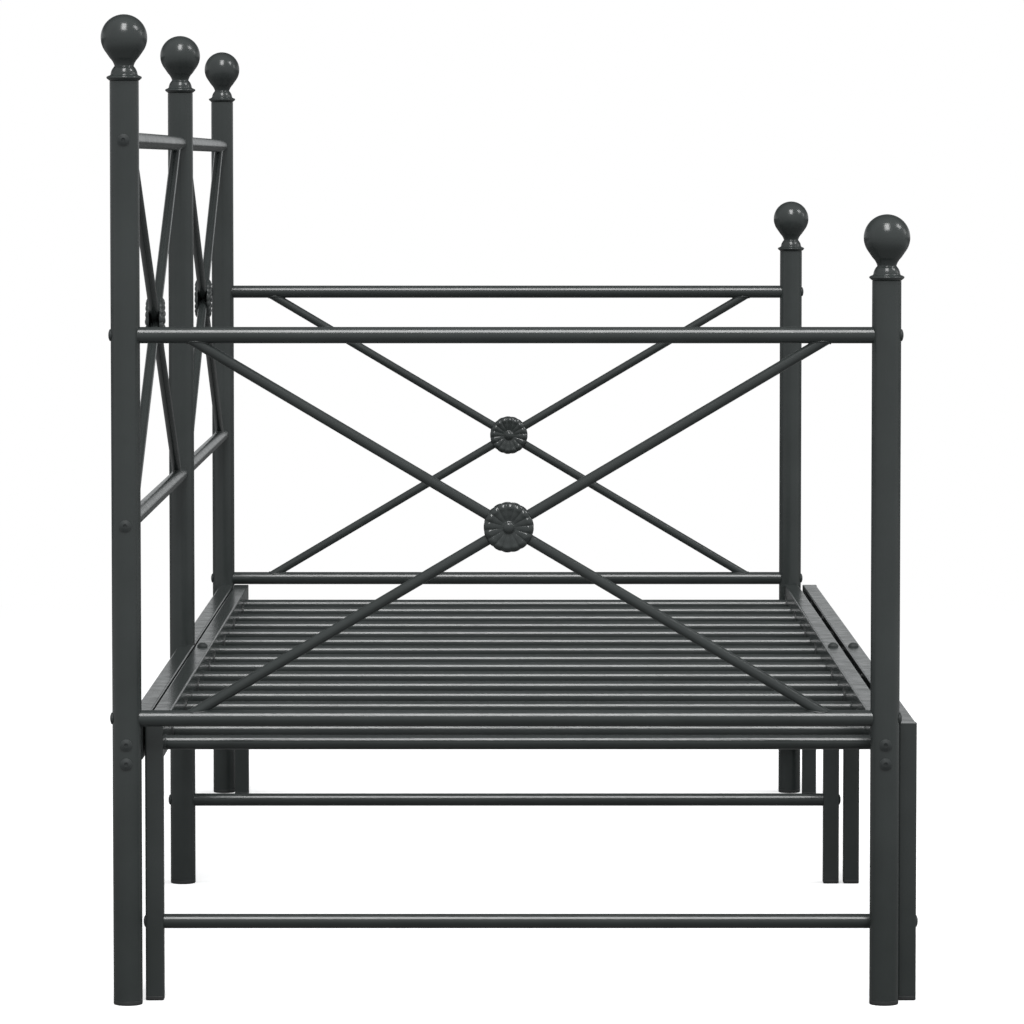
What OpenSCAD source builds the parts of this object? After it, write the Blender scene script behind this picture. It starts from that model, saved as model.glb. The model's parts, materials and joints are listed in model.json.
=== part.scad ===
// Steel-tube daybed with ball finials and a pull-out trundle frame.
// Millimetres. +X is the front, where the trundle comes out, +Y runs along the length, +Z is up.
// The origin is on the floor, in the middle of the footprint.
// "left" and "right" are as seen from the front: left is -Y, right is +Y.

/* [Daybed] */

// Distance between post axes, back to front
bed_w = 832; // [700:1:1000]
// Distance between end post axes, along the length
bed_l = 2040; // [1800:1:2100]
// Height of the back posts, without finials
back_h = 1013.5; // [900:0.5:1100]
// Height of the front posts, without finials
front_h = 796; // [700:0.5:900]
// Diameter of the round posts
post_d = 32; // [25:1:40]
// Wall thickness of the posts and rails
wall = 1.2; // [1:0.1:2]

/* [End panels] */

// Diameter of the round rails
rail_d = 18; // [15:0.5:22]
// Height of the arm rails
arm_z = 736.6; // [650:0.1:780]
// Height of the base rails
base_z = 316; // [300:1:350]
// Diameter of the brace rods
brace_d = 12; // [8:0.5:16]
// Half the span of an end brace, measured where it meets the rails
end_brace_run = 340; // [250:1:380]
// How far the end braces cross in front of the middle
end_brace_shift = 3; // [0:0.5:6]

/* [Backrest] */

// Height of the backrest's top rails
back_top_z = 949.5; // [850:0.5:980]
// Height of the backrest's lower rails
back_low_z = 528.4; // [450:0.1:600]
// Half the span of a backrest brace, measured where it meets the rails
back_brace_run = 407; // [300:1:450]

/* [Finials and rosettes] */

// Diameter of a finial's ball
ball_d = 51; // [40:1:60]
// Height of the ball's centre above the post
ball_z = 47; // [40:1:60]
// Diameter of the finial's collar
collar_d = 38; // [34:1:44]
// Height of the finial's collar
collar_h = 4.7; // [3:0.1:8]
// Radius of the finial's bell where it meets the collar
bell_r = 13.9; // [12:0.1:16]
// Diameter of the finial's neck
neck_d = 21.2; // [16:0.2:28]
// Height of the neck above the post
neck_z = 15.4; // [12:0.1:20]
// Diameter of a rosette
rosette_d = 55; // [40:1:70]
// How far a rosette stands out from the middle of the braces
rosette_t = 12; // [9:0.5:15]
// Petals on a rosette
petals = 12; // [6:1:16]

/* [Bed base] */

// Height of the side rails' top faces
rail_top = 308; // [280:1:360]
// How far the daybed's front rail stands in front of the front posts' axes
front_rail_offset = 1.2; // [0:0.1:3]
// Height of the side rails' section
rail_h = 40; // [30:1:60]
// Width of the side rails and the square legs
rail_w = 20; // [16:1:30]
// Diameter of the slats
slat_d = 16; // [12:0.5:20]
// Wall thickness of the slats and brace rods
thin_wall = 1; // [0.8:0.1:1.5]
// Distance between neighbouring slats
slat_pitch = 127.5; // [100:0.5:140]
// Distance from mid-length to the first slat
slat_start = 55.2; // [40:0.1:70]
// Slats on each side of mid-length
slats_per_side = 8; // [4:2:10]
// Height of the slats' axes
slat_z = 282; // [270:1:300]

/* [Trundle] */

// Gap between the daybed's back rail and the trundle's back rail
back_gap = 1.7; // [1:0.1:5]
// Gap between the front posts and the trundle's front rail
front_gap = 1.1; // [1:0.1:5]
// Gap along the length between the posts and the trundle's legs
end_gap = 8; // [5:0.5:15]
// Height of the trundle's lower stretchers
trundle_stretcher_z = 87.3; // [60:0.1:130]
// Height of the daybed's middle stretcher
mid_stretcher_z = 107.6; // [60:0.1:130]
// How far the trundle is pulled out
pull_out = 0; // [0:5:775]

/* [Fasteners and plastics] */

// Diameter of a bolt's head
head_d = 13; // [10:0.5:16]
// Height of a bolt's head
head_h = 2.4; // [2.2:0.1:6]
// Diameter of a bolt's shank
bolt_d = 6; // [5:1:8]
// Height of the plastic feet below the tubes
foot_h = 5; // [3:0.5:10]
// Radial clearance between a slat and its glide
glide_gap = 0.4; // [0.2:0.05:0.8]

/* [Hidden] */

$fn = 64;

// Clearance left between two pieces that are welded or pressed together
fit = 0.05;
post_x = bed_w / 2;
post_y = bed_l / 2;
post_r = post_d / 2;
half_w = rail_w / 2;
rail_z = rail_top - rail_h;
section_r = 2;

// Side rails
back_rail_x = -(post_x - post_r + half_w);
front_rail_x = post_x + front_rail_offset;
trundle_back_x = back_rail_x + rail_w + back_gap;
trundle_front_x = post_x + post_r + front_gap + half_w;
plate_t = 4;
side_rail_end = post_y - post_r - plate_t;
seam_y = -15;
sleeve_y = [-44, 24];
joint_bolt_y = -35;
joint_head_d = 13.5;
joint_head_h = 5;

// Trundle legs
leg_y = post_y - post_r - end_gap - half_w;
trundle_rail_end = leg_y - half_w;
leg_cap_t = 2;

// Slats: even ones belong to the daybed and odd ones to the trundle
daybed_slats = [for (k = [0:2:slats_per_side - 1]) slat_start + k * slat_pitch];
trundle_slats = [for (k = [1:2:slats_per_side - 1]) slat_start + k * slat_pitch];
glide_d = slat_d + 4;
flange_d = glide_d + 4;
flange_t = 1.5;

// Braces cross midway between their rails
end_mid_z = (arm_z + base_z) / 2;
back_mid_z = (back_top_z + back_low_z) / 2;
bay_y = post_y / 2;
rosette_base = brace_d / 2 + fit;

// Bolts
side_bolt_z = [rail_top - 20, rail_top - 41];
insert_l = 18;
insert_d = rail_d - 2 * wall - 2 * fit;
shank_hole = bolt_d + 0.5;
thread_hole = bolt_d + 0.1;
seat = post_r - sqrt(post_r * post_r - head_d * head_d / 4) + 0.1;

// The footprint runs from the back finials to the trundle's front bolt heads
front_end = trundle_front_x + half_w + fit + head_h;
back_end = post_x + ball_d / 2;
origin_x = (front_end - back_end) / 2;

// ---------- colours ----------

module painted() {
    color([0.20, 0.21, 0.21]) children();
}

module hardware() {
    color([0.13, 0.13, 0.14]) children();
}

module plastic() {
    color([0.08, 0.08, 0.08]) children();
}

// ---------- placing ----------

module daybed() {
    translate([-origin_x, 0, 0]) children();
}

module trundle() {
    translate([pull_out - origin_x, 0, 0]) children();
}

module to_plus_x() {
    rotate([0, 90, 0]) children();
}

module to_minus_x() {
    rotate([0, -90, 0]) children();
}

module to_plus_y() {
    rotate([-90, 0, 0]) children();
}

module to_minus_y() {
    rotate([90, 0, 0]) children();
}

// Draws its children at one end of the bed, facing outwards: side is -1 (left) or 1 (right)
module at_end(side) {
    if (side > 0) children();
    else mirror([0, 1, 0]) children();
}

// ---------- stock ----------

// Round bar between two points
module bar(from, to, d) {
    run = to - from;
    translate(from)
        rotate([0, acos(run[2] / norm(run)), atan2(run[1], run[0])])
            cylinder(h = norm(run), d = d);
}

// Round tube between two points
module tube(from, to, d, t) {
    step = (to - from) / norm(to - from);
    difference() {
        bar(from, to, d);
        bar(from - step, to + step, d - 2 * t);
    }
}

// Rectangle with rounded corners, centred on the origin
module rounded_rect(w, h, r) {
    square([w - 2 * r, h], center = true);
    square([w, h - 2 * r], center = true);
    for (x = [-1, 1], y = [-1, 1])
        translate([x * (w / 2 - r), y * (h / 2 - r)]) circle(r);
}

// Rectangular tube along +Z, centred on its axis
module box_tube(w, h, len, t, r = section_r) {
    difference() {
        linear_extrude(len) rounded_rect(w, h, r);
        translate([0, 0, -1])
            linear_extrude(len + 2) rounded_rect(w - 2 * t, h - 2 * t, max(r - t, 0.5));
    }
}

// Square leg from z = from to z = to
module square_leg(x, y, from, to) {
    translate([x, y, from]) box_tube(rail_w, rail_w, to - from, wall);
}

// Side rail along Y between two places
module side_rail(x, from, to) {
    translate([x, from, rail_z + rail_h / 2])
        to_plus_y() box_tube(rail_w, rail_h, to - from, wall);
}

// Domed bolt head with a hexagonal socket. It starts at z = -under, so that its underside can be
// cut to a round post.
module bolt_head(under = 0, d = head_d, h = head_h) {
    flat_r = 2.6;
    socket_z = 1.4;
    dome_z = (h + 1 - (d * d / 4 - flat_r * flat_r) / (h - 1)) / 2;
    difference() {
        union() {
            translate([0, 0, -under]) cylinder(h = under + 1, d = d);
            intersection() {
                translate([0, 0, 1]) cylinder(h = h - 1, d = d);
                translate([0, 0, dome_z]) sphere(norm([d / 2, 1 - dome_z]));
            }
        }
        translate([0, 0, socket_z]) cylinder(h = h, d = 4.6, $fn = 6);
    }
}

// Threaded part of a bolt, from inside its head down to z = -len
module shank(len) {
    translate([0, 0, -len]) cylinder(h = len + 1, d = bolt_d);
}

module bolt(len, d = head_d, h = head_h) {
    bolt_head(0, d, h);
    shank(len);
}

// ---------- posts and finials ----------

function post_places() = [[-post_x, -post_y], [-post_x, 0], [-post_x, post_y],
                          [post_x, -post_y], [post_x, post_y]];

// Every post as a solid bar, used to shape whatever meets a post
module post_bars(extra = fit) {
    for (p = post_places())
        translate([p[0], p[1], 0]) cylinder(h = back_h, r = post_r + extra);
}

// Holes across a corner post for the bolts of the arm and base rails
module panel_holes(x, y) {
    for (z = [arm_z, base_z])
        translate([x, y, z]) to_plus_x() cylinder(h = 2 * post_d, d = shank_hole, center = true);
}

// Holes along a post, at the given heights
module long_holes(x, y, heights) {
    for (z = heights)
        translate([x, y, z]) to_plus_y() cylinder(h = 2 * post_d, d = shank_hole, center = true);
}

module post_tube(x, y, h) {
    tube([x, y, foot_h], [x, y, h], post_d, wall);
}

module back_post(side) {
    difference() {
        post_tube(-post_x, side * post_y, back_h);
        panel_holes(-post_x, side * post_y);
        long_holes(-post_x, side * post_y, concat(side_bolt_z, [back_low_z, back_top_z]));
    }
}

module front_post(side) {
    difference() {
        post_tube(post_x, side * post_y, front_h);
        panel_holes(post_x, side * post_y);
        long_holes(post_x, side * post_y, side_bolt_z);
    }
}

module back_post_left() {
    painted() daybed() back_post(-1);
}

module back_post_right() {
    painted() daybed() back_post(1);
}

module back_post_mid() {
    painted() daybed() difference() {
        post_tube(-post_x, 0, back_h);
        long_holes(-post_x, 0, [back_low_z, back_top_z]);
        translate([-post_x, 0, mid_stretcher_z])
            to_plus_x() cylinder(h = 2 * post_d, d = shank_hole, center = true);
    }
}

module front_post_left() {
    painted() daybed() front_post(-1);
}

module front_post_right() {
    painted() daybed() front_post(1);
}

// Ball on a cone that touches it, a narrow neck, a domed bell and a collar
module finial() {
    neck_r = neck_d / 2;
    ball_r = ball_d / 2;
    lip = 1.2;
    bell_in = bell_r - neck_r;
    bell_h = neck_z - collar_h;
    bell_curve = (bell_in * bell_in + bell_h * bell_h) / (2 * bell_in);
    drop = ball_z - neck_z;
    tangent = sqrt(neck_r * neck_r + drop * drop - ball_r * ball_r);
    lean = atan2(drop, -neck_r) - asin(ball_r / norm([neck_r, drop]));
    touch = [neck_r + tangent * cos(lean), neck_z + tangent * sin(lean)];
    rotate_extrude() {
        translate([0, lip]) square([collar_d / 2, collar_h - 2 * lip]);
        square([collar_d / 2 - lip, collar_h]);
        for (z = [lip, collar_h - lip]) translate([collar_d / 2 - lip, z]) circle(lip);
        intersection() {
            translate([bell_r - bell_curve, collar_h]) circle(bell_curve);
            translate([0, collar_h - 0.5]) square([bell_r, bell_h + 0.5]);
        }
        polygon([[0, neck_z - 0.5], [neck_r, neck_z - 0.5], [neck_r, neck_z], touch, [0, touch[1]]]);
        intersection() {
            translate([0, ball_z]) circle(ball_r);
            square([ball_r, 2 * ball_z]);
        }
    }
    translate([0, 0, -20]) cylinder(h = 20.1, r = post_r - wall - fit);
}

module back_finials() {
    painted() daybed()
        for (y = [-post_y, 0, post_y]) translate([-post_x, y, back_h + fit]) finial();
}

module front_finials() {
    painted() daybed()
        for (y = [-post_y, post_y]) translate([post_x, y, front_h + fit]) finial();
}

// ---------- end panels ----------

module cross_rail(y, z) {
    difference() {
        tube([-post_x, y, z], [post_x, y, z], rail_d, wall);
        post_bars();
    }
}

module arm_rail_left() {
    painted() daybed() cross_rail(-post_y, arm_z);
}

module arm_rail_right() {
    painted() daybed() cross_rail(post_y, arm_z);
}

module base_rail_left() {
    painted() daybed() cross_rail(-post_y, base_z);
}

module base_rail_right() {
    painted() daybed() cross_rail(post_y, base_z);
}

// End points of a brace's axis across a panel. Each end is carried on to the rail's axis.
// slope is 1 or -1, and the first coordinate runs along the rails.
function brace_ends(mid, low, high, run, slope) =
    let (inner = (high - low - rail_d) / 2, reach = run * (high - low) / 2 / inner)
        [[mid - slope * reach, low], [mid + slope * reach, high]];

function on_end(p, y) = [p[0], y, p[1]];
function on_back(p) = [-post_x, p[0], p[1]];

module end_brace(side, slope, d, hollow = true) {
    ends = brace_ends(end_brace_shift, base_z, arm_z, end_brace_run, slope);
    from = on_end(ends[0], side * post_y);
    to = on_end(ends[1], side * post_y);
    if (hollow) tube(from, to, d, thin_wall);
    else bar(from, to, d);
}

module end_rail_bars(side) {
    for (z = [base_z, arm_z])
        bar([-post_x, side * post_y, z], [post_x, side * post_y, z], rail_d + 2 * fit);
}

module end_brace_long(side) {
    difference() {
        end_brace(side, side, brace_d);
        end_rail_bars(side);
    }
}

module end_brace_halves(side) {
    difference() {
        end_brace(side, -side, brace_d);
        end_rail_bars(side);
        end_brace(side, side, brace_d + 2 * fit, false);
    }
}

module end_brace_left_long() {
    painted() daybed() end_brace_long(-1);
}

module end_brace_left_halves() {
    painted() daybed() end_brace_halves(-1);
}

module end_brace_right_long() {
    painted() daybed() end_brace_long(1);
}

module end_brace_right_halves() {
    painted() daybed() end_brace_halves(1);
}

// Flower plate with its back at z = rosette_base and the top of its button at z = rosette_t
module rosette() {
    petal_r = rosette_d / 5;
    rim = rosette_d / 2 - petal_r;
    button_r = 13;
    translate([0, 0, rosette_base]) linear_extrude(rosette_t - rosette_base - 2) {
        circle(rim);
        for (i = [0:petals - 1]) rotate(i * 360 / petals) translate([rim, 0]) circle(petal_r);
    }
    intersection() {
        translate([0, 0, rosette_t - button_r]) sphere(button_r);
        translate([0, 0, rosette_base + 1]) cylinder(h = rosette_t, r = button_r);
    }
}

module end_rosettes() {
    painted() daybed()
        for (side = [-1, 1], turn = [-90, 90])
            translate([end_brace_shift, side * post_y, end_mid_z]) rotate([turn, 0, 0]) rosette();
}

// ---------- backrest ----------

module backrest_rails(side) {
    difference() {
        for (z = [back_low_z, back_top_z])
            tube([-post_x, 0, z], [-post_x, side * post_y, z], rail_d, wall);
        post_bars();
    }
}

module backrest_rails_left() {
    painted() daybed() backrest_rails(-1);
}

module backrest_rails_right() {
    painted() daybed() backrest_rails(1);
}

module backrest_brace(side, slope, d, hollow = true) {
    ends = brace_ends(side * bay_y, back_low_z, back_top_z, back_brace_run, slope);
    if (hollow) tube(on_back(ends[0]), on_back(ends[1]), d, thin_wall);
    else bar(on_back(ends[0]), on_back(ends[1]), d);
}

module backrest_rail_bars() {
    for (z = [back_low_z, back_top_z])
        bar([-post_x, -post_y, z], [-post_x, post_y, z], rail_d + 2 * fit);
}

module backrest_brace_long(side) {
    difference() {
        backrest_brace(side, side, brace_d);
        backrest_rail_bars();
    }
}

module backrest_brace_halves(side) {
    difference() {
        backrest_brace(side, -side, brace_d);
        backrest_rail_bars();
        backrest_brace(side, side, brace_d + 2 * fit, false);
    }
}

module backrest_brace_left_long() {
    painted() daybed() backrest_brace_long(-1);
}

module backrest_brace_left_halves() {
    painted() daybed() backrest_brace_halves(-1);
}

module backrest_brace_right_long() {
    painted() daybed() backrest_brace_long(1);
}

module backrest_brace_right_halves() {
    painted() daybed() backrest_brace_halves(1);
}

module backrest_rosettes() {
    painted() daybed()
        for (side = [-1, 1], turn = [-90, 90])
            translate([-post_x, side * bay_y, back_mid_z]) rotate([0, turn, 0]) rosette();
}

// ---------- side rails of the daybed ----------

// Round holes through a side rail for the slats that slide in it
module glide_holes(x, places) {
    for (y = places, side = [-1, 1])
        translate([x, side * y, slat_z])
            to_plus_x() cylinder(h = 2 * rail_w, d = glide_d + 2 * fit, center = true);
}

module joint_hole(x, d) {
    translate([x, joint_bolt_y, rail_top - 10]) cylinder(h = 20, d = d);
}

module back_rail_half(side) {
    difference() {
        at_end(side) side_rail(back_rail_x, 0, side_rail_end - fit);
        post_bars();
    }
}

module back_rail_left() {
    painted() daybed() back_rail_half(-1);
}

module back_rail_right() {
    painted() daybed() back_rail_half(1);
}

module front_rail_left() {
    painted() daybed() difference() {
        side_rail(front_rail_x, -side_rail_end + fit, seam_y - fit);
        glide_holes(front_rail_x, trundle_slats);
        joint_hole(front_rail_x, shank_hole);
    }
}

module front_rail_right() {
    painted() daybed() difference() {
        side_rail(front_rail_x, seam_y + fit, side_rail_end - fit);
        glide_holes(front_rail_x, trundle_slats);
    }
}

// Box section inside a rail that joins its two halves
module sleeve(x) {
    gap = wall + fit;
    difference() {
        translate([x, sleeve_y[0], rail_z + rail_h / 2])
            to_plus_y()
                box_tube(rail_w - 2 * gap, rail_h - 2 * gap, sleeve_y[1] - sleeve_y[0], 1.5, 1.5);
        joint_hole(x, thread_hole);
    }
}

module front_rail_sleeve() {
    painted() daybed() sleeve(front_rail_x);
}

// Plates on the ends of the side rails, which bolt to the posts
module rail_end_plates() {
    plate_h = 62;
    painted() daybed()
        for (side = [-1, 1], x = [-post_x, post_x]) at_end(side) difference() {
            translate([x - post_r + 2, side_rail_end, rail_top - plate_h])
                cube([post_d - 4, plate_t - fit, plate_h - 1]);
            for (z = side_bolt_z)
                translate([x, side_rail_end, z])
                    to_plus_y() cylinder(h = 3 * plate_t, d = thread_hole, center = true);
        }
}

module middle_leg() {
    painted() daybed() difference() {
        square_leg(front_rail_x, 0, foot_h, rail_z - fit);
        translate([front_rail_x, 0, mid_stretcher_z])
            to_plus_x() cylinder(h = 2 * rail_w, d = shank_hole, center = true);
    }
}

module middle_stretcher() {
    painted() daybed() difference() {
        tube([-post_x, 0, mid_stretcher_z], [front_rail_x - half_w - fit, 0, mid_stretcher_z],
             slat_d, wall);
        post_bars();
    }
}

module slat(from, to, y) {
    tube([from, y, slat_z], [to, y, slat_z], slat_d, thin_wall);
}

module daybed_slat_group(side) {
    for (y = daybed_slats)
        slat(back_rail_x + half_w + fit, front_rail_x - half_w - fit, side * y);
}

module daybed_slats_left() {
    painted() daybed() daybed_slat_group(-1);
}

module daybed_slats_right() {
    painted() daybed() daybed_slat_group(1);
}

// Plastic bush in a rail, with its flange on the side that flange_side names
module glide(x, y, flange_side) {
    translate([x, y, slat_z]) rotate([0, flange_side * 90, 0]) difference() {
        union() {
            translate([0, 0, -half_w]) cylinder(h = rail_w, d = glide_d);
            translate([0, 0, half_w + fit]) cylinder(h = flange_t, d = flange_d);
            translate([0, 0, half_w - 1]) cylinder(h = 2, d = glide_d);
        }
        cylinder(h = 3 * rail_w, d = slat_d + 2 * glide_gap, center = true);
    }
}

module front_rail_glides() {
    plastic() daybed()
        for (y = trundle_slats, side = [-1, 1]) glide(front_rail_x, side * y, -1);
}

// ---------- feet ----------

module post_feet() {
    plastic() daybed()
        for (p = post_places()) translate([p[0], p[1], 0]) {
            cylinder(h = foot_h - fit, d = post_d);
            cylinder(h = foot_h + 15, r = post_r - wall - fit);
        }
}

module square_foot(x, y) {
    plug = rail_w - 2 * wall - 2 * fit;
    translate([x, y, 0]) {
        linear_extrude(foot_h - fit) rounded_rect(rail_w, rail_w, section_r);
        linear_extrude(foot_h + 12) rounded_rect(plug, plug, 1);
    }
}

module middle_leg_foot() {
    plastic() daybed() square_foot(front_rail_x, 0);
}

// ---------- inserts and bolts of the daybed ----------

// Threaded plug in the end of a round tube, cut to the post that the tube meets
module insert(d) {
    difference() {
        cylinder(h = insert_l, d = d);
        translate([0, 0, -1]) cylinder(h = insert_l + 2, d = thread_hole);
    }
}

module rail_inserts() {
    start = post_r;
    hardware() daybed() difference() {
        union() {
            for (y = [-post_y, post_y], z = [base_z, arm_z]) {
                translate([-post_x + start, y, z]) to_plus_x() insert(insert_d);
                translate([post_x - start, y, z]) to_minus_x() insert(insert_d);
            }
            for (z = [back_low_z, back_top_z]) {
                for (y = [-post_y, 0]) translate([-post_x, y + start, z]) to_plus_y() insert(insert_d);
                for (y = [0, post_y]) translate([-post_x, y - start, z]) to_minus_y() insert(insert_d);
            }
        }
        post_bars();
    }
}

module stretcher_insert_pair(from, to, y, z) {
    plug = slat_d - 2 * wall - 2 * fit;
    translate([from, y, z]) to_plus_x() insert(plug);
    translate([to, y, z]) to_minus_x() insert(plug);
}

module stretcher_inserts() {
    hardware() daybed()
        stretcher_insert_pair(-post_x + post_r + 0.5, front_rail_x - half_w - 0.5, 0,
                              mid_stretcher_z);
}

// Places for the bolts that go through a corner post into a rail of a panel
module panel_bolt_places() {
    for (side = [-1, 1]) at_end(side) {
        for (z = [base_z, arm_z]) {
            translate([-post_x - post_r, post_y, z]) to_minus_x() children();
            translate([post_x + post_r, post_y, z]) to_plus_x() children();
        }
        for (z = [back_low_z, back_top_z])
            translate([-post_x, post_y + post_r, z]) to_plus_y() children();
    }
}

// Places for the bolts that go through a corner post into the end plate of a side rail
module side_bolt_places() {
    for (side = [-1, 1]) at_end(side)
        for (x = [-post_x, post_x], z = side_bolt_z)
            translate([x, post_y + post_r, z]) to_plus_y() children();
}

module post_bolts() {
    hardware() daybed() {
        difference() {
            union() {
                panel_bolt_places() bolt_head(seat);
                side_bolt_places() bolt_head(seat);
            }
            post_bars();
        }
        panel_bolt_places() shank(post_d + insert_l - 4);
        side_bolt_places() shank(post_d + plate_t - fit);
    }
}

// Studs through the middle post that hold the backrest's two bays together
module backrest_studs() {
    reach = post_r + insert_l - 4;
    hardware() daybed()
        for (z = [back_low_z, back_top_z])
            translate([-post_x, 0, z])
                to_plus_y() cylinder(h = 2 * reach, d = bolt_d, center = true);
}

module middle_stretcher_bolts() {
    hardware() daybed() {
        translate([-post_x - post_r, 0, mid_stretcher_z]) to_minus_x()
            shank(post_d + insert_l - 4);
        difference() {
            translate([-post_x - post_r, 0, mid_stretcher_z]) to_minus_x() bolt_head(seat);
            post_bars();
        }
        translate([front_rail_x + half_w + fit, 0, mid_stretcher_z])
            to_plus_x() bolt(rail_w + insert_l - 4);
    }
}

// Bolt on top of a rail that fixes its left half to the sleeve
module joint_bolt(x) {
    translate([x, joint_bolt_y, rail_top + fit])
        bolt(8, joint_head_d, joint_head_h);
}

module front_rail_bolt() {
    hardware() daybed() joint_bolt(front_rail_x);
}

// ---------- trundle ----------

module trundle_back_rail_left() {
    painted() trundle() difference() {
        side_rail(trundle_back_x, -trundle_rail_end + fit, seam_y - fit);
        glide_holes(trundle_back_x, daybed_slats);
        joint_hole(trundle_back_x, shank_hole);
    }
}

module trundle_back_rail_right() {
    painted() trundle() difference() {
        side_rail(trundle_back_x, seam_y + fit, trundle_rail_end - fit);
        glide_holes(trundle_back_x, daybed_slats);
    }
}

module trundle_front_rail_left() {
    painted() trundle() difference() {
        side_rail(trundle_front_x, -trundle_rail_end + fit, seam_y - fit);
        joint_hole(trundle_front_x, shank_hole);
    }
}

module trundle_front_rail_right() {
    painted() trundle() side_rail(trundle_front_x, seam_y + fit, trundle_rail_end - fit);
}

module trundle_rail_sleeves() {
    painted() trundle() for (x = [trundle_back_x, trundle_front_x]) sleeve(x);
}

// Corner leg with a bolt hole for its stretcher
module corner_leg(x, side) {
    difference() {
        square_leg(x, side * leg_y, foot_h, rail_top - leg_cap_t - fit);
        translate([x, side * leg_y, trundle_stretcher_z])
            to_plus_x() cylinder(h = 2 * rail_w, d = shank_hole, center = true);
    }
}

module trundle_back_leg_left() {
    painted() trundle() corner_leg(trundle_back_x, -1);
}

module trundle_back_leg_right() {
    painted() trundle() corner_leg(trundle_back_x, 1);
}

module trundle_front_leg_left() {
    painted() trundle() corner_leg(trundle_front_x, -1);
}

module trundle_front_leg_right() {
    painted() trundle() corner_leg(trundle_front_x, 1);
}

module trundle_front_leg_mid() {
    painted() trundle() square_leg(trundle_front_x, 0, foot_h, rail_z - fit);
}

// Plates welded over the open tops of the corner legs
module trundle_leg_tops() {
    painted() trundle()
        for (x = [trundle_back_x, trundle_front_x], side = [-1, 1])
            translate([x, side * leg_y, rail_top - leg_cap_t])
                linear_extrude(leg_cap_t) rounded_rect(rail_w, rail_w, section_r);
}

module trundle_stretchers() {
    painted() trundle()
        for (side = [-1, 1])
            tube([trundle_back_x + half_w + fit, side * leg_y, trundle_stretcher_z],
                 [trundle_front_x - half_w - fit, side * leg_y, trundle_stretcher_z],
                 slat_d, wall);
}

module trundle_slat_group(side) {
    for (y = trundle_slats)
        slat(trundle_back_x + half_w + fit, trundle_front_x - half_w - fit, side * y);
}

module trundle_slats_left() {
    painted() trundle() trundle_slat_group(-1);
}

module trundle_slats_right() {
    painted() trundle() trundle_slat_group(1);
}

module trundle_glides() {
    plastic() trundle()
        for (y = daybed_slats, side = [-1, 1]) glide(trundle_back_x, side * y, 1);
}

module trundle_feet() {
    plastic() trundle() {
        for (x = [trundle_back_x, trundle_front_x], side = [-1, 1]) square_foot(x, side * leg_y);
        square_foot(trundle_front_x, 0);
    }
}

// Bolts through the corner legs, with the plugs that they screw into
module trundle_stretcher_bolts() {
    hardware() trundle()
        for (side = [-1, 1]) {
            translate([trundle_back_x - half_w - fit, side * leg_y, trundle_stretcher_z])
                to_minus_x() bolt(rail_w + insert_l - 4);
            translate([trundle_front_x + half_w + fit, side * leg_y, trundle_stretcher_z])
                to_plus_x() bolt(rail_w + insert_l - 4);
            stretcher_insert_pair(trundle_back_x + half_w + 0.5, trundle_front_x - half_w - 0.5,
                                  side * leg_y, trundle_stretcher_z);
        }
}

module trundle_joint_bolts() {
    hardware() trundle() for (x = [trundle_back_x, trundle_front_x]) joint_bolt(x);
}

// ---------- drawing ----------

back_post_left();
back_post_mid();
back_post_right();
front_post_left();
front_post_right();
back_finials();
front_finials();
arm_rail_left();
arm_rail_right();
base_rail_left();
base_rail_right();
end_brace_left_long();
end_brace_left_halves();
end_brace_right_long();
end_brace_right_halves();
end_rosettes();
backrest_rails_left();
backrest_rails_right();
backrest_brace_left_long();
backrest_brace_left_halves();
backrest_brace_right_long();
backrest_brace_right_halves();
backrest_rosettes();
back_rail_left();
back_rail_right();
front_rail_left();
front_rail_right();
front_rail_sleeve();
rail_end_plates();
middle_leg();
middle_stretcher();
daybed_slats_left();
daybed_slats_right();
front_rail_glides();
post_feet();
middle_leg_foot();
rail_inserts();
stretcher_inserts();
post_bolts();
backrest_studs();
middle_stretcher_bolts();
front_rail_bolt();
trundle_back_rail_left();
trundle_back_rail_right();
trundle_front_rail_left();
trundle_front_rail_right();
trundle_rail_sleeves();
trundle_back_leg_left();
trundle_back_leg_right();
trundle_front_leg_left();
trundle_front_leg_mid();
trundle_front_leg_right();
trundle_leg_tops();
trundle_stretchers();
trundle_slats_left();
trundle_slats_right();
trundle_glides();
trundle_feet();
trundle_stretcher_bolts();
trundle_joint_bolts();
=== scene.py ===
"""Steel daybed with a nested trundle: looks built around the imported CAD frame.

The frame gives every size and place. This script adds what CAD leaves plain: turned finials,
cast flower rosettes, weld beads, moulded feet, and the powder coat, all in metres.
"""

import json
import math
import random

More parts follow.
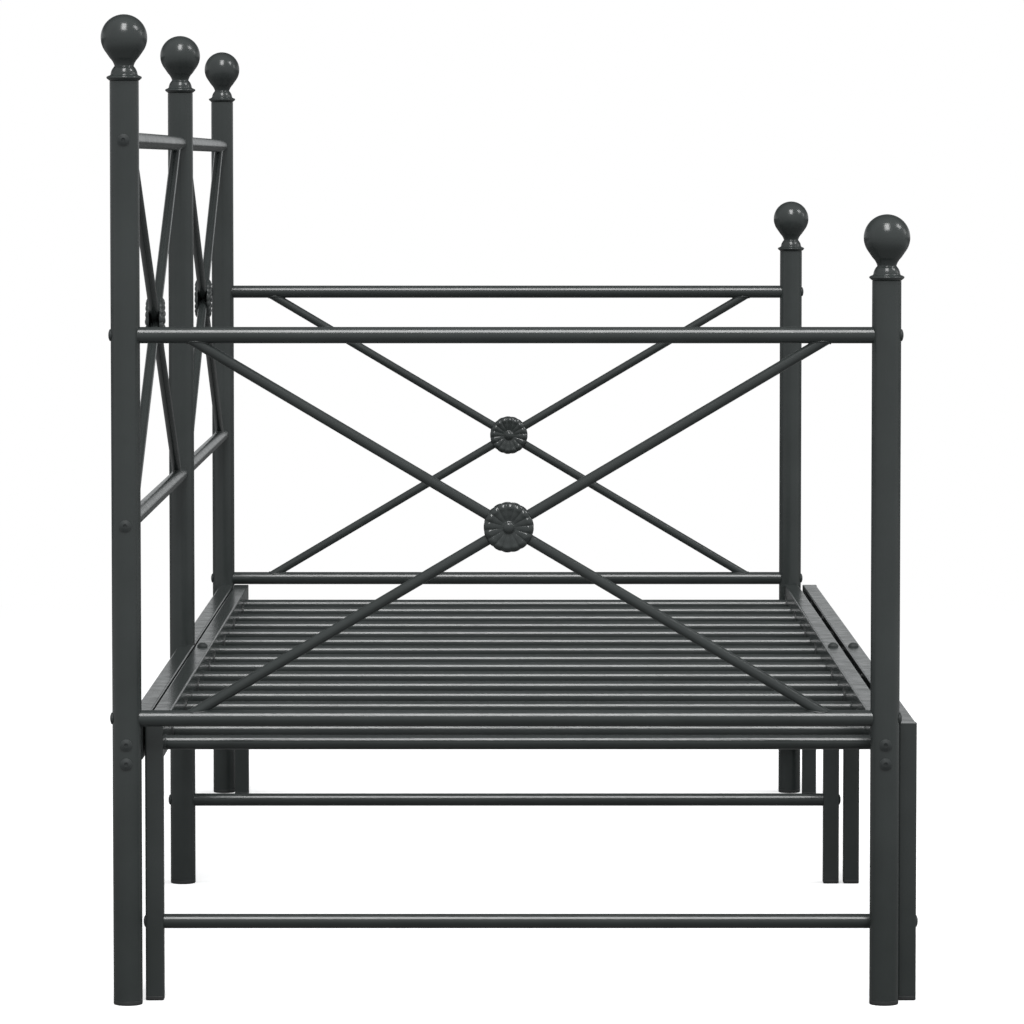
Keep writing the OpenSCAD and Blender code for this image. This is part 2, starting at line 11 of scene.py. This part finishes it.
import bmesh
import bpy
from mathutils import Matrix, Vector


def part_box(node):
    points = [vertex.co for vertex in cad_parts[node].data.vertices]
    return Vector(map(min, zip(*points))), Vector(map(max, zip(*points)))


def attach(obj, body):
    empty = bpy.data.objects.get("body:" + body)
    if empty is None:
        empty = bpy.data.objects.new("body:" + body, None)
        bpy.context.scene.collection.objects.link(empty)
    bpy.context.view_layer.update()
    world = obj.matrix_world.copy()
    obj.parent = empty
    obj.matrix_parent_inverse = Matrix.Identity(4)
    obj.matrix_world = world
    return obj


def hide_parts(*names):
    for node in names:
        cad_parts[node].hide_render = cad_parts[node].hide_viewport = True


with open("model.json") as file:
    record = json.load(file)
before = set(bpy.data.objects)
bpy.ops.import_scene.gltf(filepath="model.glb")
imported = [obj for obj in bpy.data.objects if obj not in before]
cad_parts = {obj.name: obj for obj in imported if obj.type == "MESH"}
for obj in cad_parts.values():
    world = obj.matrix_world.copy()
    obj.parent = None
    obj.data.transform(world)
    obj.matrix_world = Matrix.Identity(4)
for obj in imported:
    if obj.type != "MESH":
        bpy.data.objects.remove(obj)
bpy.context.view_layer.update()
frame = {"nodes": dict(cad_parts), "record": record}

MM = 0.001
STEEL, HARDWARE, PLASTIC = "steel_black", "bolt_black", "plastic_black"
DAYBED, TRUNDLE = "daybed", "trundle"


# ---------- sizes read from the frame ----------

def middle(node):
    lo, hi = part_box(node)
    return (lo + hi) / 2


def size(node):
    lo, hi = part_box(node)
    return hi - lo


POST_R = size("front_post_left").x / 2
POST_X_FRONT = middle("front_post_left").x
POST_X_BACK = middle("back_post_left").x
POST_Y = middle("back_post_right").y
BACK_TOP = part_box("back_post_left")[1].z
FRONT_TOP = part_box("front_post_left")[1].z
RAIL_R = size("arm_rail_left").z / 2
ARM_Z = middle("arm_rail_left").z
BASE_Z = middle("base_rail_left").z
SLAT_R = size("middle_stretcher").z / 2
BALL_R = size("front_finials").x / 2
FINIAL_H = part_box("front_finials")[1].z - FRONT_TOP


# ---------- materials ----------

def node_of(tree, kind, **values):
    """New shader node: each value goes to the input of that name, or else to the node itself."""
    node = tree.nodes.new(kind)
    for name, value in values.items():
        if name in node.inputs:
            node.inputs[name].default_value = value
        else:
            setattr(node, name, value)
    return node


def new_material(name):
    material = bpy.data.materials.new(name)
    material.use_nodes = True
    tree = material.node_tree
    return material, tree, tree.nodes["Principled BSDF"]


def mapped(tree, value, source, target, easing="SMOOTHSTEP"):
    """Value mapped from its source range to a target range, whose end may be another output."""
    ranged = node_of(tree, "ShaderNodeMapRange", interpolation_type=easing)
    ranged.inputs["From Min"].default_value, ranged.inputs["From Max"].default_value = source
    ranged.inputs["To Min"].default_value = target[0]
    if isinstance(target[1], bpy.types.NodeSocket):
        tree.links.new(target[1], ranged.inputs["To Max"])
    else:
        ranged.inputs["To Max"].default_value = target[1]
    tree.links.new(value, ranged.inputs["Value"])
    return ranged.outputs["Result"]


def mixed(tree, factor, first, second):
    """The first shader where the factor is 0 and the second where it is 1."""
    mix = tree.nodes.new("ShaderNodeMixShader")
    for number, output in enumerate((factor, first, second)):
        tree.links.new(output, mix.inputs[number])
    return mix.outputs[0]


NOISE_RANGE = (0.3, 0.7)
GLOSS_SCALE = 45.0
MOTTLE_SCALE = 14.0
PEEL_STRENGTH = 0.35


def noise_map(tree, coords, scale, low, high, detail=3.0):
    """Noise in object space, mapped from its usual range to low..high."""
    noise = node_of(tree, "ShaderNodeTexNoise", Scale=scale, Detail=detail)
    tree.links.new(coords.outputs["Object"], noise.inputs["Vector"])
    return mapped(tree, noise.outputs["Fac"], NOISE_RANGE, (low, high), "LINEAR")


def coated(name, dark, light, rough, peel_scale, peel_height, shine=0.5):
    """Paint or plastic: two close tones, uneven gloss and a fine pebbled skin."""
    material, tree, shader = new_material(name)
    coords = node_of(tree, "ShaderNodeTexCoord")
    mix = node_of(tree, "ShaderNodeMix", data_type="RGBA")
    mix.inputs["A"].default_value = (*dark, 1.0)
    mix.inputs["B"].default_value = (*light, 1.0)
    tree.links.new(noise_map(tree, coords, MOTTLE_SCALE, 0.0, 1.0), mix.inputs["Factor"])
    tree.links.new(mix.outputs["Result"], shader.inputs["Base Color"])
    tree.links.new(noise_map(tree, coords, GLOSS_SCALE, *rough), shader.inputs["Roughness"])
    bump = node_of(tree, "ShaderNodeBump", Strength=PEEL_STRENGTH, Distance=peel_height)
    tree.links.new(noise_map(tree, coords, peel_scale, 0.0, 1.0, detail=2.0), bump.inputs["Height"])
    tree.links.new(bump.outputs["Normal"], shader.inputs["Normal"])
    shader.inputs["Specular IOR Level"].default_value = shine
    return material


MATERIALS = {
    STEEL: coated("PowderCoat", (0.030, 0.035, 0.034), (0.038, 0.044, 0.043),
                  (0.18, 0.25), 420.0, 0.06 * MM),
    HARDWARE: coated("BlackZinc", (0.030, 0.034, 0.034), (0.042, 0.047, 0.047),
                     (0.50, 0.62), 700.0, 0.05 * MM, shine=0.3),
    PLASTIC: coated("BlackPlastic", (0.026, 0.028, 0.028), (0.034, 0.036, 0.036),
                    (0.42, 0.55), 900.0, 0.08 * MM),
}


def dress_cad_nodes():
    """Gives each CAD node the material that its record names."""
    slots = {s["node"]: s["material_slot"] for s in frame["record"]["subparts"]}
    for name, obj in frame["nodes"].items():
        obj.data.materials.clear()
        obj.data.materials.append(MATERIALS[slots[name]])


# ---------- mesh helpers ----------

def solids(node):
    """Boxes of the separate solids in a CAD node, as (lowest, highest) corners, in a fixed order."""
    bm = bmesh.new()
    bm.from_mesh(frame["nodes"][node].data)
    bmesh.ops.remove_doubles(bm, verts=bm.verts, dist=1e-6)
    boxes, seen = [], set()
    for start in bm.verts:
        if start in seen:
            continue
        seen.add(start)
        island, waiting = [], [start]
        while waiting:
            vert = waiting.pop()
            island.append(vert.co.copy())
            for edge in vert.link_edges:
                other = edge.other_vert(vert)
                if other not in seen:
                    seen.add(other)
                    waiting.append(other)
        boxes.append((Vector([min(c[i] for c in island) for i in range(3)]),
                      Vector([max(c[i] for c in island) for i in range(3)])))
    bm.free()
    return sorted(boxes, key=lambda b: [round(v, 3) for v in (b[0].y, b[0].x, b[0].z)])


def arc(centre, radius, start, end, steps):
    """Points on an arc in a profile's plane, from start to end in degrees."""
    angles = [math.radians(start + (end - start) * k / steps) for k in range(steps + 1)]
    return [(centre[0] + radius * math.cos(a), centre[1] + radius * math.sin(a)) for a in angles]


def resampled(points, step):
    """The same outline with a point about every step along it."""
    result = [points[0]]
    for (x0, y0), (x1, y1) in zip(points, points[1:]):
        parts = max(1, round(math.hypot(x1 - x0, y1 - y0) / step))
        result += [(x0 + (x1 - x0) * k / parts, y0 + (y1 - y0) * k / parts)
                   for k in range(1, parts + 1)]
    return result


def softened(points, passes):
    """Rounds an outline's corners as thick paint does. Its ends stay."""
    for _ in range(passes):
        inner = [tuple((a + 2 * b + c) / 4 for a, b, c in zip(*trio))
                 for trio in zip(points, points[1:], points[2:])]
        points = [points[0], *inner, points[-1]]
    return points


def skin(bm, rings, looped=False):
    """Quads between rings of points. Open rows of rings are closed by a face at each end."""
    rows = [[bm.verts.new(point) for point in ring] for ring in rings]
    pairs = list(zip(rows, rows[1:])) + ([(rows[-1], rows[0])] if looped else [])
    for lower, upper in pairs:
        count = len(lower)
        for k in range(count):
            bm.faces.new((lower[k], lower[(k + 1) % count], upper[(k + 1) % count], upper[k]))
    if not looped:
        bm.faces.new(reversed(rows[0]))
        bm.faces.new(rows[-1])


def circle(radius, count):
    """Points round a circle, anticlockwise."""
    return [(radius * math.cos(2 * math.pi * k / count), radius * math.sin(2 * math.pi * k / count))
            for k in range(count)]


def rounded_square(half, corner, steps=6):
    """Outline of a square with round corners, anticlockwise."""
    corner = min(corner, half)
    inner = half - corner
    return [point for turn, (sx, sy) in enumerate([(1, 1), (-1, 1), (-1, -1), (1, -1)])
            for point in arc((sx * inner, sy * inner), corner, 90 * turn, 90 * turn + 90, steps)]


def lathe(bm, base, profile, count=64):
    """Solid of revolution about +Z: profile is (radius, height) points from the bottom up."""
    least = 0.02 * MM
    rings = [[base + Vector((x, y, height)) for x, y in circle(max(radius, least), count)]
             for radius, height in profile]
    skin(bm, rings)


def finished(bm, name):
    """Mesh data from a build mesh, with its faces turned outward."""
    bmesh.ops.recalc_face_normals(bm, faces=bm.faces)
    mesh = bpy.data.meshes.new(name)
    bm.to_mesh(mesh)
    bm.free()
    return mesh


def add_piece(name, bm, slot, body, replaces=()):
    """Puts a finished piece in the scene, on its body and in place of the CAD nodes it replaces."""
    mesh = finished(bm, name)
    for polygon in mesh.polygons:
        polygon.use_smooth = True
    obj = bpy.data.objects.new(name, mesh)
    bpy.context.scene.collection.objects.link(obj)
    mesh.materials.append(MATERIALS[slot])
    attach(obj, body)
    if replaces:
        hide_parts(*replaces)
    return obj


# ---------- finials ----------

COLLAR_R = 19.4 * MM
RIM_R, RIM_H = 1.4 * MM, 3.8 * MM
BELL_R, BELL_LOW = 14.9 * MM, 6.6 * MM
NECK_R, NECK_H = 10.4 * MM, 16.2 * MM
CUP_R, CUP_LOW = 15.6 * MM, 25.0 * MM
BELL_BULGE, CUP_HOLLOW = 1.0 * MM, 0.7 * MM


def bowed(start, end, bulge, steps=12):
    """Points on a shallow curve between two points, standing out to its right by the bulge."""
    (x0, y0), (x1, y1) = start, end
    length = math.hypot(x1 - x0, y1 - y0)
    result = []
    for k in range(steps + 1):
        t = k / steps
        out = 4 * bulge * t * (1 - t) / length
        result.append((x0 + (x1 - x0) * t + out * (y1 - y0), y0 + (y1 - y0) * t - out * (x1 - x0)))
    return result


def finial_profile():
    """Thin pointed collar, flared bell, narrow neck, and a cup that runs into the ball."""
    ball_z = FINIAL_H - BALL_R
    collar = [(0, 0), (POST_R - 0.6 * MM, 0), (POST_R + 0.4 * MM, 0.6 * MM)]
    collar += arc((COLLAR_R - RIM_R, RIM_H), RIM_R, -55, 60, 8)
    bell = bowed((BELL_R, BELL_LOW), (NECK_R, NECK_H), BELL_BULGE)
    cup = bowed((NECK_R, NECK_H), (CUP_R, CUP_LOW), -CUP_HOLLOW)
    drop = ball_z - CUP_LOW
    tangent = math.sqrt(CUP_R ** 2 + drop ** 2 - BALL_R ** 2)
    lean = math.atan2(drop, -CUP_R) - math.asin(BALL_R / math.hypot(CUP_R, drop))
    touch = (CUP_R + tangent * math.cos(lean), CUP_LOW + tangent * math.sin(lean))
    touch_angle = math.degrees(math.atan2(touch[1] - ball_z, touch[0]))
    ball = arc((0, ball_z), BALL_R, touch_angle, 90, 40)
    outline = resampled(collar + bell + cup[1:] + [touch], 0.5 * MM)
    return softened(outline, 3)[:-1] + ball


def make_finials():
    profile = finial_profile()
    places = [("finial_back_left", POST_X_BACK, -POST_Y, BACK_TOP, "back_finials"),
              ("finial_back_middle", POST_X_BACK, 0, BACK_TOP, "back_finials"),
              ("finial_back_right", POST_X_BACK, POST_Y, BACK_TOP, "back_finials"),
              ("finial_front_left", POST_X_FRONT, -POST_Y, FRONT_TOP, "front_finials"),
              ("finial_front_right", POST_X_FRONT, POST_Y, FRONT_TOP, "front_finials")]
    for name, x, y, top, node in places:
        bm = bmesh.new()
        lathe(bm, Vector((x, y, top)), profile)
        add_piece(name, bm, STEEL, DAYBED, [node])


# ---------- flower rosettes ----------

PETALS = 16
PETAL_TURN = math.radians(5)
SCALLOP = 0.04
RING_POINTS, FRONT_RINGS = 12 * PETALS, 28

# Heights are shares of the blossom's thickness, and distances are shares of its radius.
DISH_LOW, DISH_RISE = 0.36, 0.14
RIDGE_HEIGHT = 0.17
TIP_HEIGHT, TIP_AT, TIP_SPREAD = 0.24, 0.82, 0.11
BOSS_SHARE, BOSS_FOOT = 0.23, 0.40


def smooth_step(low, high, value):
    """Eases from 0 at low to 1 at high."""
    t = min(1.0, max(0.0, (value - low) / (high - low)))
    return t * t * (3 - 2 * t)


def petal_at(angle):
    """Number of the petal at an angle, and its arch there: 0 in the creases, 1 on its middle line."""
    turns = (angle - PETAL_TURN) * PETALS / (2 * math.pi) + 0.5
    across = 2 * (turns % 1.0) - 1
    return int(turns // 1) % PETALS, math.sqrt(1 - across ** 2)


def rosette_height(share, angle, lifts):
    """Height of the cast blossom over its back, as a share of its thickness, at a share of its
    radius: a shallow dish of ridged petals whose tips swell into beads, round a domed boss."""
    number, arch = petal_at(angle)
    dish = DISH_LOW + DISH_RISE * smooth_step(0.2, 0.7, share)
    ridge = RIDGE_HEIGHT * smooth_step(0.22, 0.55, share) * arch
    tip = TIP_HEIGHT * math.exp(-((share - TIP_AT) / TIP_SPREAD) ** 2) * arch * lifts[number]
    leaf = math.sqrt(max(0.0, 1 - share ** 9)) * (dish + ridge + tip)
    if share >= BOSS_SHARE:
        return leaf
    return max(leaf, BOSS_FOOT + (1 - BOSS_FOOT) * math.sqrt(1 - (share / BOSS_SHARE) ** 2))


def make_rosette(bm, lo, hi, facing, luck):
    """One blossom in a CAD rosette's box. Its flat back lies on the rods, and facing is the
    direction of its front."""
    axis = max(range(3), key=lambda i: abs(facing[i]))
    thick = hi[axis] - lo[axis]
    back = (lo + hi) / 2
    back[axis] = lo[axis] if facing[axis] > 0 else hi[axis]
    up = Vector((0, 0, 1))
    side = up.cross(facing)
    radius = (hi.z - lo.z) / 2
    lifts = [luck.uniform(0.75, 1.1) for _ in range(PETALS)]

    def ring(share, flat):
        points = []
        for k in range(RING_POINTS):
            angle = 2 * math.pi * k / RING_POINTS
            reach = share * radius * (1 - SCALLOP + SCALLOP * petal_at(angle)[1])
            height = 0.0 if flat else thick * rosette_height(share, angle, lifts)
            outward = math.sin(angle) * side + math.cos(angle) * up
            points.append(back + reach * outward + height * facing)
        return points

    front = [ring(max(0.004, (1 - k / FRONT_RINGS) ** 0.8), False) for k in range(FRONT_RINGS + 1)]
    skin(bm, [ring(0.01, True), ring(0.97, True)] + front)


def make_rosettes():
    """A blossom in each rosette's place. Those of a pair stand back to back and face away."""
    luck = random.Random(11)
    for node, axis in (("end_rosettes", Vector((0, 1, 0))),
                       ("backrest_rosettes", Vector((1, 0, 0)))):
        boxes = solids(node)
        for number, (lo, hi) in enumerate(boxes, 1):
            centre = (lo + hi) / 2
            twin = min((b for b in boxes if b[0] != lo),
                       key=lambda b: ((b[0] + b[1]) / 2 - centre).length)
            away = axis if (centre - (twin[0] + twin[1]) / 2).dot(axis) > 0 else -axis
            bm = bmesh.new()
            make_rosette(bm, lo, hi, away, luck)
            add_piece(f"{node[:-1]}_{number}", bm, STEEL, DAYBED, [node])


# ---------- moulded feet ----------

# Height as a share of the pad's, and how far the wall stands in there, in mm.
FOOT_WALL = ((0.0, 2.4), (0.0, 1.3), (0.03, 0.8), (0.10, 0.35), (0.20, 0.1), (0.32, 0.0),
             (0.40, 0.0), (0.84, 0.0), (0.90, 0.0), (0.95, 0.08), (0.99, 0.3), (1.0, 0.6),
             (1.0, 1.2))
SQUARE_FOOT_CORNER = 2.0 * MM
PLUG_INSET = 2.2 * MM


def make_foot(bm, lo, hi, height, is_round):
    """Pad under a tube, as wide as the CAD foot, and its plug up inside the tube."""
    centre = (lo + hi) / 2
    half = (hi.x - lo.x) / 2
    wall = [(share * height, half - inset * MM) for share, inset in FOOT_WALL]
    plug = half - PLUG_INSET
    wall += [(height, plug), (hi.z - MM, plug), (hi.z, plug - MM)]
    rings = []
    for level, reach in wall:
        outline = circle(reach, 48) if is_round else rounded_square(reach, SQUARE_FOOT_CORNER)
        rings.append([(centre.x + x, centre.y + y, level) for x, y in outline])
    skin(bm, rings)


def make_feet():
    """Every foot, with its pad as high as the gap under the leg that it carries."""
    for node, body, leg, is_round in (("post_feet", DAYBED, "front_post_left", True),
                                      ("middle_leg_foot", DAYBED, "middle_leg", False),
                                      ("trundle_feet", TRUNDLE, "trundle_front_leg_left", False)):
        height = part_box(leg)[0].z
        for number, (lo, hi) in enumerate(solids(node), 1):
            bm = bmesh.new()
            make_foot(bm, lo, hi, height, is_round)
            add_piece(f"{node}_{number}", bm, PLASTIC, body, [node])


# ---------- weld beads ----------

BRACE_R = size("end_brace_left_long").y / 2
BRACE_BEAD = 1.0 * MM
SLAT_BEAD = 0.8 * MM
POOL_LENGTH = 2.6 * MM


def seam(start, along, rod_r, host=None, count=72):
    """Closed line where a round rod meets its host: a tube (point, direction, radius), or a flat
    face across the rod when there is none. start is on the rod's axis, and along points into
    the host."""
    across = along.orthogonal().normalized()
    other = along.cross(across)
    points = []
    for k in range(count):
        angle = 2 * math.pi * k / count
        point = start + rod_r * (math.cos(angle) * across + math.sin(angle) * other)
        if host:
            centre, axis, radius = host
            flat = (point - centre) - (point - centre).dot(axis) * axis
            step = along - along.dot(axis) * axis
            a, b, c = step.dot(step), 2 * flat.dot(step), flat.dot(flat) - radius ** 2
            point = point + along * (-b - math.sqrt(b * b - 4 * a * c)) / (2 * a)
        points.append(point)
    return points


def bead(bm, path, radius, luck):
    """Weld bead along a closed line, with the small steps that its pools leave."""
    count = len(path)
    centre = sum(path, Vector()) / count
    length = sum((path[k] - path[k - 1]).length for k in range(count))
    pools = max(6, round(length / POOL_LENGTH))
    lean = luck.uniform(0, 2 * math.pi)
    rings = []
    for k, point in enumerate(path):
        ahead = (path[(k + 1) % count] - path[k - 1]).normalized()
        out = point - centre
        out = (out - out.dot(ahead) * ahead).normalized()
        up = ahead.cross(out)
        share = k / count
        pool = abs(math.sin(math.pi * pools * share))
        swell = radius * (0.88 + 0.20 * pool + 0.10 * math.sin(2 * math.pi * share + lean))
        rings.append([point + swell * (x * out + y * up) for x, y in circle(1.0, 8)])
    skin(bm, rings, looped=True)


def brace_slope(node, run_axis, rise, rail_r):
    """Angle over the level of a whole brace rod whose ends lie against the near sides of two
    rails, from its box: rise is the height between the rails' axes."""
    lo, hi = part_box(node)
    half_run = (hi - lo)[run_axis] / 2
    half_rise = rise / 2 - rail_r
    angle = math.atan2(half_rise, half_run)
    for _ in range(20):
        angle = math.atan2(half_rise, half_run - BRACE_R / math.sin(angle))
    return angle


def brace_welds(name, nodes, low_z, high_z, rail_r, run_axis, luck):
    """Beads where each whole rod, and its mirror image in two halves, meets the rails."""
    bm = bmesh.new()
    level = Vector((1, 0, 0)) if run_axis == 0 else Vector((0, 1, 0))
    for node in nodes:
        centre = middle(node)
        centre.z = (low_z + high_z) / 2
        slope = brace_slope(node, run_axis, high_z - low_z, rail_r)
        for turn in (1, -1):
            for end in (1, -1):
                along = Vector((0, 0, end * math.sin(slope)))
                along += turn * end * math.cos(slope) * level
                on_rail = Vector((centre.x, centre.y, high_z if end > 0 else low_z))
                host = (on_rail, level, rail_r)
                bead(bm, seam(centre, along, BRACE_R, host), BRACE_BEAD, luck)
    add_piece(name, bm, STEEL, DAYBED)


def slat_welds(name, nodes, face_x, into, body, luck):
    """Beads round the slats' ends, where they meet the flat side of a rail."""
    bm = bmesh.new()
    for node in nodes:
        for lo, hi in solids(node):
            centre = (lo + hi) / 2
            start = Vector((face_x, centre.y, centre.z))
            bead(bm, seam(start, Vector((into, 0, 0)), SLAT_R), SLAT_BEAD, luck)
    add_piece(name, bm, STEEL, body)


def make_welds():
    luck = random.Random(5)
    backrest_low, backrest_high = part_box("backrest_rails_left")
    brace_welds("end_brace_welds", ["end_brace_left_long", "end_brace_right_long"],
                BASE_Z, ARM_Z, RAIL_R, 0, luck)
    brace_welds("backrest_brace_welds", ["backrest_brace_left_long", "backrest_brace_right_long"],
                backrest_low.z + RAIL_R, backrest_high.z - RAIL_R, RAIL_R, 1, luck)
    slat_welds("daybed_slat_welds", ["daybed_slats_left", "daybed_slats_right"],
               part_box("front_rail_left")[0].x, 1, DAYBED, luck)
    slat_welds("trundle_slat_welds", ["trundle_slats_left", "trundle_slats_right"],
               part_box("trundle_back_rail_left")[1].x, -1, TRUNDLE, luck)


# ---------- camera, light and floor ----------

def aim(obj, target):
    """Turns a light's or camera's view axis to a point."""
    obj.rotation_euler = (Vector(target) - obj.location).to_track_quat("-Z", "Y").to_euler()


def make_camera():
    """Level-eyed view of the short end, tilted down so that the whole bed is in frame."""
    distance_to_posts = 5.9873
    eye_height = 0.9234
    off_middle = 3.7 * MM
    tilt, turn = math.radians(3.636), math.radians(-0.028)
    focal_share = 5.35
    camera = bpy.data.objects.new("Camera", bpy.data.cameras.new("Camera"))
    camera.data.sensor_width = 36
    camera.data.lens = focal_share * camera.data.sensor_width
    middle_x = (POST_X_FRONT + POST_X_BACK) / 2
    camera.location = (middle_x + off_middle, -POST_Y - distance_to_posts, eye_height)
    camera.rotation_euler = (math.pi / 2 - tilt, 0, turn)
    camera.data.clip_end = 200
    bpy.context.scene.collection.objects.link(camera)
    bpy.context.scene.camera = camera


LIGHT_DISTANCE = 12
AIM_HEIGHT = 0.5


def area_light(name, azimuth, elevation, wide, tall, radiance):
    """Soft box seen from the bed at that azimuth (0 is behind the camera) and elevation, with
    its width and height as angles in degrees."""
    light = bpy.data.lights.new(name, "AREA")
    light.shape = "RECTANGLE"
    light.size = 2 * LIGHT_DISTANCE * math.tan(math.radians(wide / 2))
    light.size_y = 2 * LIGHT_DISTANCE * math.tan(math.radians(tall / 2))
    light.energy = radiance * light.size * light.size_y * math.pi
    obj = bpy.data.objects.new(name, light)
    a, e = math.radians(azimuth), math.radians(elevation)
    obj.location = (LIGHT_DISTANCE * math.sin(a) * math.cos(e),
                    -LIGHT_DISTANCE * math.cos(a) * math.cos(e),
                    LIGHT_DISTANCE * math.sin(e) + AIM_HEIGHT)
    aim(obj, (0, 0, AIM_HEIGHT))
    obj.visible_camera = False
    bpy.context.scene.collection.objects.link(obj)


def make_lights():
    area_light("KeyBox", azimuth=0, elevation=53, wide=17, tall=32, radiance=12)
    area_light("SideBox", azimuth=78, elevation=43, wide=13, tall=15, radiance=10)
    area_light("LowBox", azimuth=98, elevation=19, wide=10, tall=12, radiance=3)


WHITE = (1.0, 1.0, 1.0, 1.0)
ROOM_WHITE = (0.97, 0.99, 1.0, 1.0)
FRONT_TO_BACK = (-0.10, 0.80)
HORIZON_BAND = (0.11, 0.30)
FRONT_GREY, HORIZON_GREY, UPPER_GREY = 0.60, 0.58, 0.08


def make_world():
    """White for the camera. The light that reaches the bed comes from a soft grey room, which is
    darker behind the bed than in front of it, apart from a pale band at the horizon."""
    world = bpy.data.worlds.new("Studio")
    world.use_nodes = True
    tree = world.node_tree
    tree.nodes.clear()
    coords = tree.nodes.new("ShaderNodeTexCoord")
    split = tree.nodes.new("ShaderNodeSeparateXYZ")
    tree.links.new(coords.outputs["Generated"], split.inputs[0])
    behind = mapped(tree, split.outputs["Z"], HORIZON_BAND, (HORIZON_GREY, UPPER_GREY))
    strength = mapped(tree, split.outputs["Y"], FRONT_TO_BACK, (FRONT_GREY, behind))
    room = node_of(tree, "ShaderNodeBackground", Color=ROOM_WHITE)
    tree.links.new(strength, room.inputs["Strength"])
    backdrop = node_of(tree, "ShaderNodeBackground", Color=WHITE, Strength=1.0)
    path = tree.nodes.new("ShaderNodeLightPath")
    output = tree.nodes.new("ShaderNodeOutputWorld")
    sky = mixed(tree, path.outputs["Is Camera Ray"], room.outputs[0], backdrop.outputs[0])
    tree.links.new(sky, output.inputs["Surface"])
    bpy.context.scene.world = world


FLOOR_HALF = 60
FLOOR_DARK = (0.19, 0.19, 0.19, 1.0)
FLOOR_PALE = (0.93, 0.93, 0.93, 1.0)
# Distances from the bed's middle, in metres.
WHITE_OUT = (1.6, 4.5)
BOUNCE_OUT = (1.3, 3.6)
BOUNCE_TO_FRONT = (3.0, 0.5)


def seen_floor(tree, reach):
    """What the camera sees: pale and shaded near the bed, and plain white further off."""
    pale = node_of(tree, "ShaderNodeBsdfDiffuse", Color=FLOOR_PALE)
    lift = node_of(tree, "ShaderNodeEmission", Color=WHITE, Strength=0.45)
    near = tree.nodes.new("ShaderNodeAddShader")
    tree.links.new(pale.outputs[0], near.inputs[0])
    tree.links.new(lift.outputs[0], near.inputs[1])
    far = node_of(tree, "ShaderNodeEmission", Color=WHITE, Strength=1.0)
    return mixed(tree, mapped(tree, reach, WHITE_OUT, (0.0, 1.0)), near.outputs[0], far.outputs[0])


def bounce_floor(tree, shader, coords, reach):
    """What lights the bed from below: dark under it, and brighter in front and to the sides."""
    shader.inputs["Base Color"].default_value = FLOOR_DARK
    shader.inputs["Roughness"].default_value = 0.9
    shader.inputs["Specular IOR Level"].default_value = 0.0
    glow = node_of(tree, "ShaderNodeEmission", Color=ROOM_WHITE, Strength=0.50)
    split = tree.nodes.new("ShaderNodeSeparateXYZ")
    tree.links.new(coords, split.inputs[0])
    front = mapped(tree, split.outputs["Y"], BOUNCE_TO_FRONT, (0.0, 1.0))
    share = mapped(tree, reach, BOUNCE_OUT, (0.0, front))
    return mixed(tree, share, shader.outputs[0], glow.outputs[0])


def make_floor():
    """Pale floor that fades into the white backdrop. Its bounce is kept low near the bed, so that
    the undersides stay dark, and is brighter in front."""
    mesh = bpy.data.meshes.new("Floor")
    corners = [(x * FLOOR_HALF, y * FLOOR_HALF, 0) for x, y in ((-1, -1), (1, -1), (1, 1), (-1, 1))]
    mesh.from_pydata(corners, [], [(0, 1, 2, 3)])
    floor = bpy.data.objects.new("Floor", mesh)
    bpy.context.scene.collection.objects.link(floor)
    material, tree, shader = new_material("FloorPaint")
    coords = tree.nodes.new("ShaderNodeTexCoord").outputs["Object"]
    distance = node_of(tree, "ShaderNodeVectorMath", operation="LENGTH")
    tree.links.new(coords, distance.inputs[0])
    reach = distance.outputs["Value"]
    path = tree.nodes.new("ShaderNodeLightPath")
    surface = mixed(tree, path.outputs["Is Camera Ray"],
                    bounce_floor(tree, shader, coords, reach), seen_floor(tree, reach))
    tree.links.new(surface, tree.nodes["Material Output"].inputs["Surface"])
    mesh.materials.append(material)


dress_cad_nodes()
make_finials()
make_rosettes()
make_feet()
make_welds()
make_camera()
make_lights()
make_world()
make_floor()
bpy.context.scene.view_settings.view_transform = "Standard"
